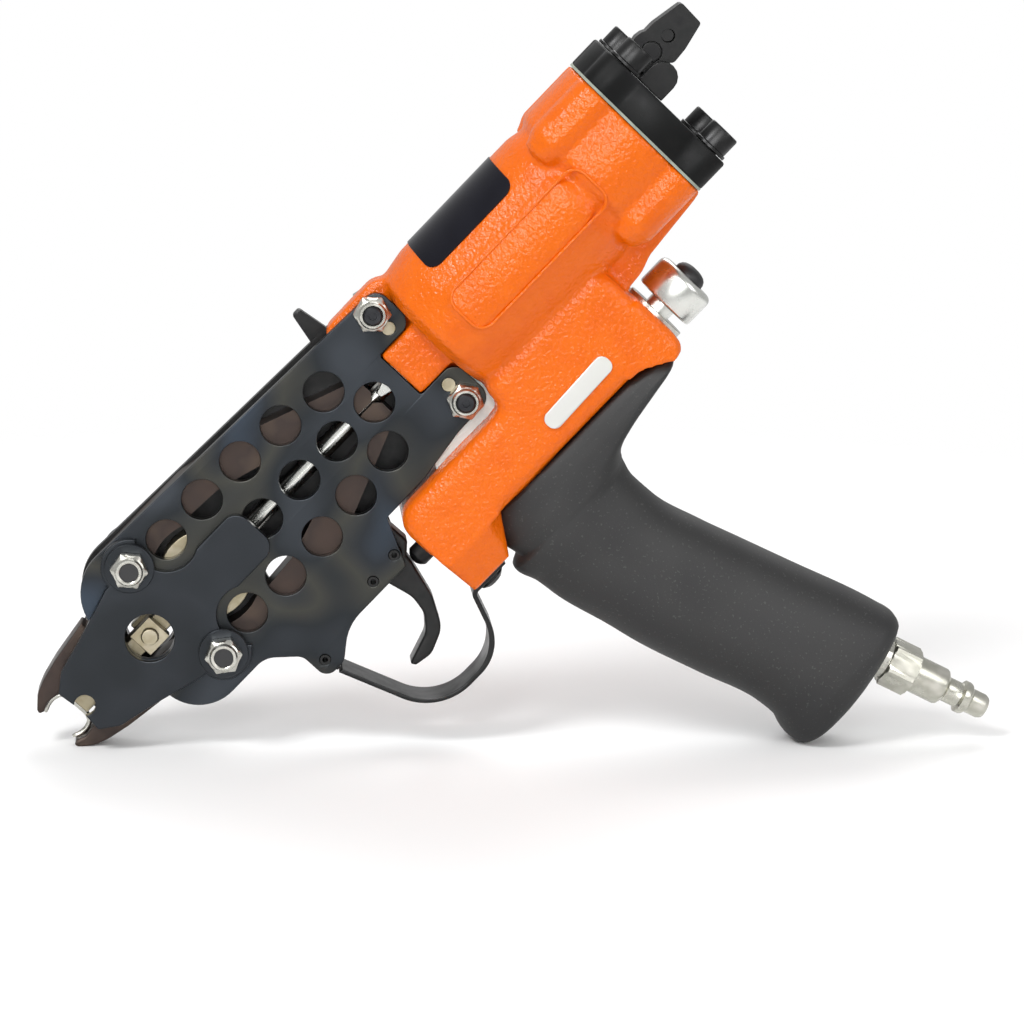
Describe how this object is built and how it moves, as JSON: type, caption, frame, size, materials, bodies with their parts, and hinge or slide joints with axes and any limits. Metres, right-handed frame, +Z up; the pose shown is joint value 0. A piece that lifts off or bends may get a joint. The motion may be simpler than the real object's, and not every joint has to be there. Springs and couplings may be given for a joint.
{
  "type": "pneumatic hog ring tool",
  "caption": "Pistol-style air tool that closes wire rings: perforated side plates carry two hooked jaws that a wedge on an air piston drives shut; rubber grip, trigger and guard.",
  "frame": {"origin": "centre of the bounding box on the surface that the lower jaw's tip and the heel of the grip stand on", "axes": "+Z up, +X from the jaws towards the air plug, +Y across the tool away from the side with the nuts"},
  "size_m": [0.2972, 0.0548, 0.2295],
  "materials": {
    "orange_paint": "orange wrinkle enamel over a light-alloy casting",
    "blued_steel": "black oxide with heat tints",
    "brown_steel": "dark heat-treated",
    "bare_steel": "passivated",
    "chrome_steel": "polished",
    "zinc_plate": "bright zinc",
    "black_oxide": "black oxide",
    "black_rubber": "matte",
    "gasket_paper": "matte",
    "bronze": "machined"
  },
  "bodies": {
    "frame": {"near_side_plate": "blued_steel", "far_side_plate": "blued_steel", "near_nose_cover": "blued_steel", "far_nose_cover": "blued_steel", "ring_guide": "bare_steel", "guide_stud": "bare_steel", "square_nut": "bare_steel", "loaded_ring": "chrome_steel", "upper_pivot_bolt": "zinc_plate", "upper_pivot_nut": "zinc_plate", "upper_pivot_near_washer": "zinc_plate", "upper_pivot_far_washer": "zinc_plate", "upper_jaw_bush": "bronze", "upper_ear_bolt": "zinc_plate", "upper_ear_nut": "zinc_plate", "upper_dowel": "bronze", "lower_pivot_bolt": "zinc_plate", "lower_pivot_nut": "zinc_plate", "lower_pivot_near_washer": "zinc_plate", "lower_pivot_far_washer": "zinc_plate", "lower_jaw_bush": "bronze", "lower_ear_bolt": "zinc_plate", "lower_ear_nut": "zinc_plate", "lower_dowel": "bronze", "trigger_pin": "black_oxide", "stop_pin": "black_oxide", "guard_pin": "black_oxide", "rod_bush": "bronze", "bumper": "black_rubber", "housing": "orange_paint", "end_cap": "black_oxide", "cap_gasket": "gasket_paper", "cap_screw_1": "black_oxide", "cap_screw_2": "black_oxide", "cap_screw_3": "black_oxide", "cap_screw_4": "black_oxide", "hanger_bracket": "black_oxide", "hanger_pin": "zinc_plate", "trigger_guard": "black_oxide", "guard_screw": "black_oxide", "knob_collar": "zinc_plate", "grip_sleeve": "black_rubber", "inlet_seal": "zinc_plate", "air_plug": "zinc_plate"},
    "drive": {"wedge": "chrome_steel", "piston_rod": "chrome_steel", "piston": "bare_steel", "piston_seal": "black_rubber", "rod_nut": "zinc_plate"},
    "jaw_upper": {"upper_jaw": "brown_steel"},
    "jaw_lower": {"lower_jaw": "brown_steel"},
    "trigger_lever": {"trigger": "black_oxide"},
    "valve": {"valve_stem": "black_oxide"},
    "knob": {"speed_knob": "chrome_steel", "knob_dome": "black_rubber"},
    "hanger": {"hanger_lever": "black_oxide"}
  },
  "joints": [
    {"name": "piston_slide", "type": "slide", "parent": "frame", "child": "drive", "axis": [-0.6821, 0, -0.7313], "range_m": [0, 0.022]},
    {"name": "upper_jaw_pivot", "type": "hinge", "parent": "frame", "child": "jaw_upper", "pos_m": [-0.12011, 0, 0.05817], "axis": [0, -1, 0], "range_deg": [0, 5], "deforming": ["loaded_ring"]},
    {"name": "lower_jaw_pivot", "type": "hinge", "parent": "frame", "child": "jaw_lower", "pos_m": [-0.09158, 0, 0.03157], "axis": [0, 1, 0], "range_deg": [0, 5]},
    {"name": "trigger_pivot", "type": "hinge", "parent": "frame", "child": "trigger_lever", "pos_m": [-0.0397, 0, 0.0614], "axis": [0, -1, 0], "range_deg": [0, 14], "stiffness_Nm_per_rad": 0.1, "springref_deg": -17.19},
    {"name": "valve_slide", "type": "slide", "parent": "frame", "child": "valve", "axis": [0.6821, 0, 0.7313], "range_m": [0, 0.0021]},
    {"name": "knob_turn", "type": "hinge", "parent": "frame", "child": "knob", "pos_m": [0.04584, 0, 0.1427], "axis": [0.6821, 0, 0.7313], "range_deg": [-360, 360]},
    {"name": "hanger_pivot", "type": "hinge", "parent": "frame", "child": "hanger", "pos_m": [0.03582, 0, 0.21495], "axis": [0, 1, 0], "range_deg": [-75, 30]}
  ],
  "couplings": [
    {"joint": "upper_jaw_pivot", "follows": "piston_slide", "rad_per_m": 3.96},
    {"joint": "lower_jaw_pivot", "follows": "piston_slide", "rad_per_m": 3.96},
    {"joint": "valve_slide", "follows": "trigger_pivot", "m_per_rad": 0.00819}
  ]
}
